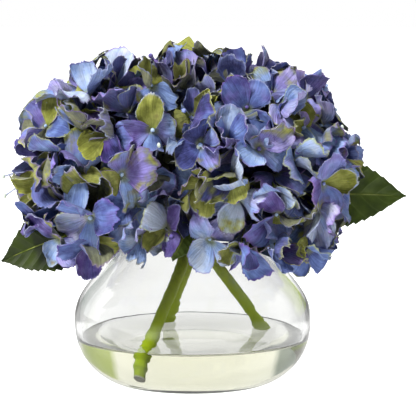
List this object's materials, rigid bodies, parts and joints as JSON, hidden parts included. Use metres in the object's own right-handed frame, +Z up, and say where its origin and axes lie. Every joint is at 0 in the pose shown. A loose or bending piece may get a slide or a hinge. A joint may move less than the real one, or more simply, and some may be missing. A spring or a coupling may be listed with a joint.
{
  "type": "cut hydrangeas in a vase",
  "caption": "Blue hydrangea heads on cut stems with leaves, standing in a round clear glass vase with a little water.",
  "frame": {"origin": "centre of the vase's flat foot, on the surface that it stands on", "axes": "+Z up, +X to the right as the picture shows it, along the bouquet's longest side; -Y is the front"},
  "size_m": [0.2572, 0.2052, 0.2258],
  "materials": {
    "clear_glass": "clear blown glass, polished",
    "still_water": "clear set resin that looks like still water, faint yellow-green",
    "stem": "moulded green stem, satin, olive to bright green",
    "petal_fabric": "thin pressed petal cloth, matt, sky blue to violet with yellow-green tips",
    "leaf_fabric": "pressed leaf cloth with veins, satin dark green"
  },
  "bodies": {
    "root": {"vase": "clear_glass", "water": "still_water", "stem_left": "stem", "stem_right": "stem", "stem_middle": "stem", "bloom_left": "petal_fabric", "bloom_right": "petal_fabric", "bloom_middle": "petal_fabric", "leaf_right_outer": "leaf_fabric", "leaf_left_outer": "leaf_fabric", "leaf_left_front": "leaf_fabric", "leaf_right_front": "leaf_fabric", "leaf_middle_back": "leaf_fabric", "leaf_left_back": "leaf_fabric"}
  },
  "joints": []
}
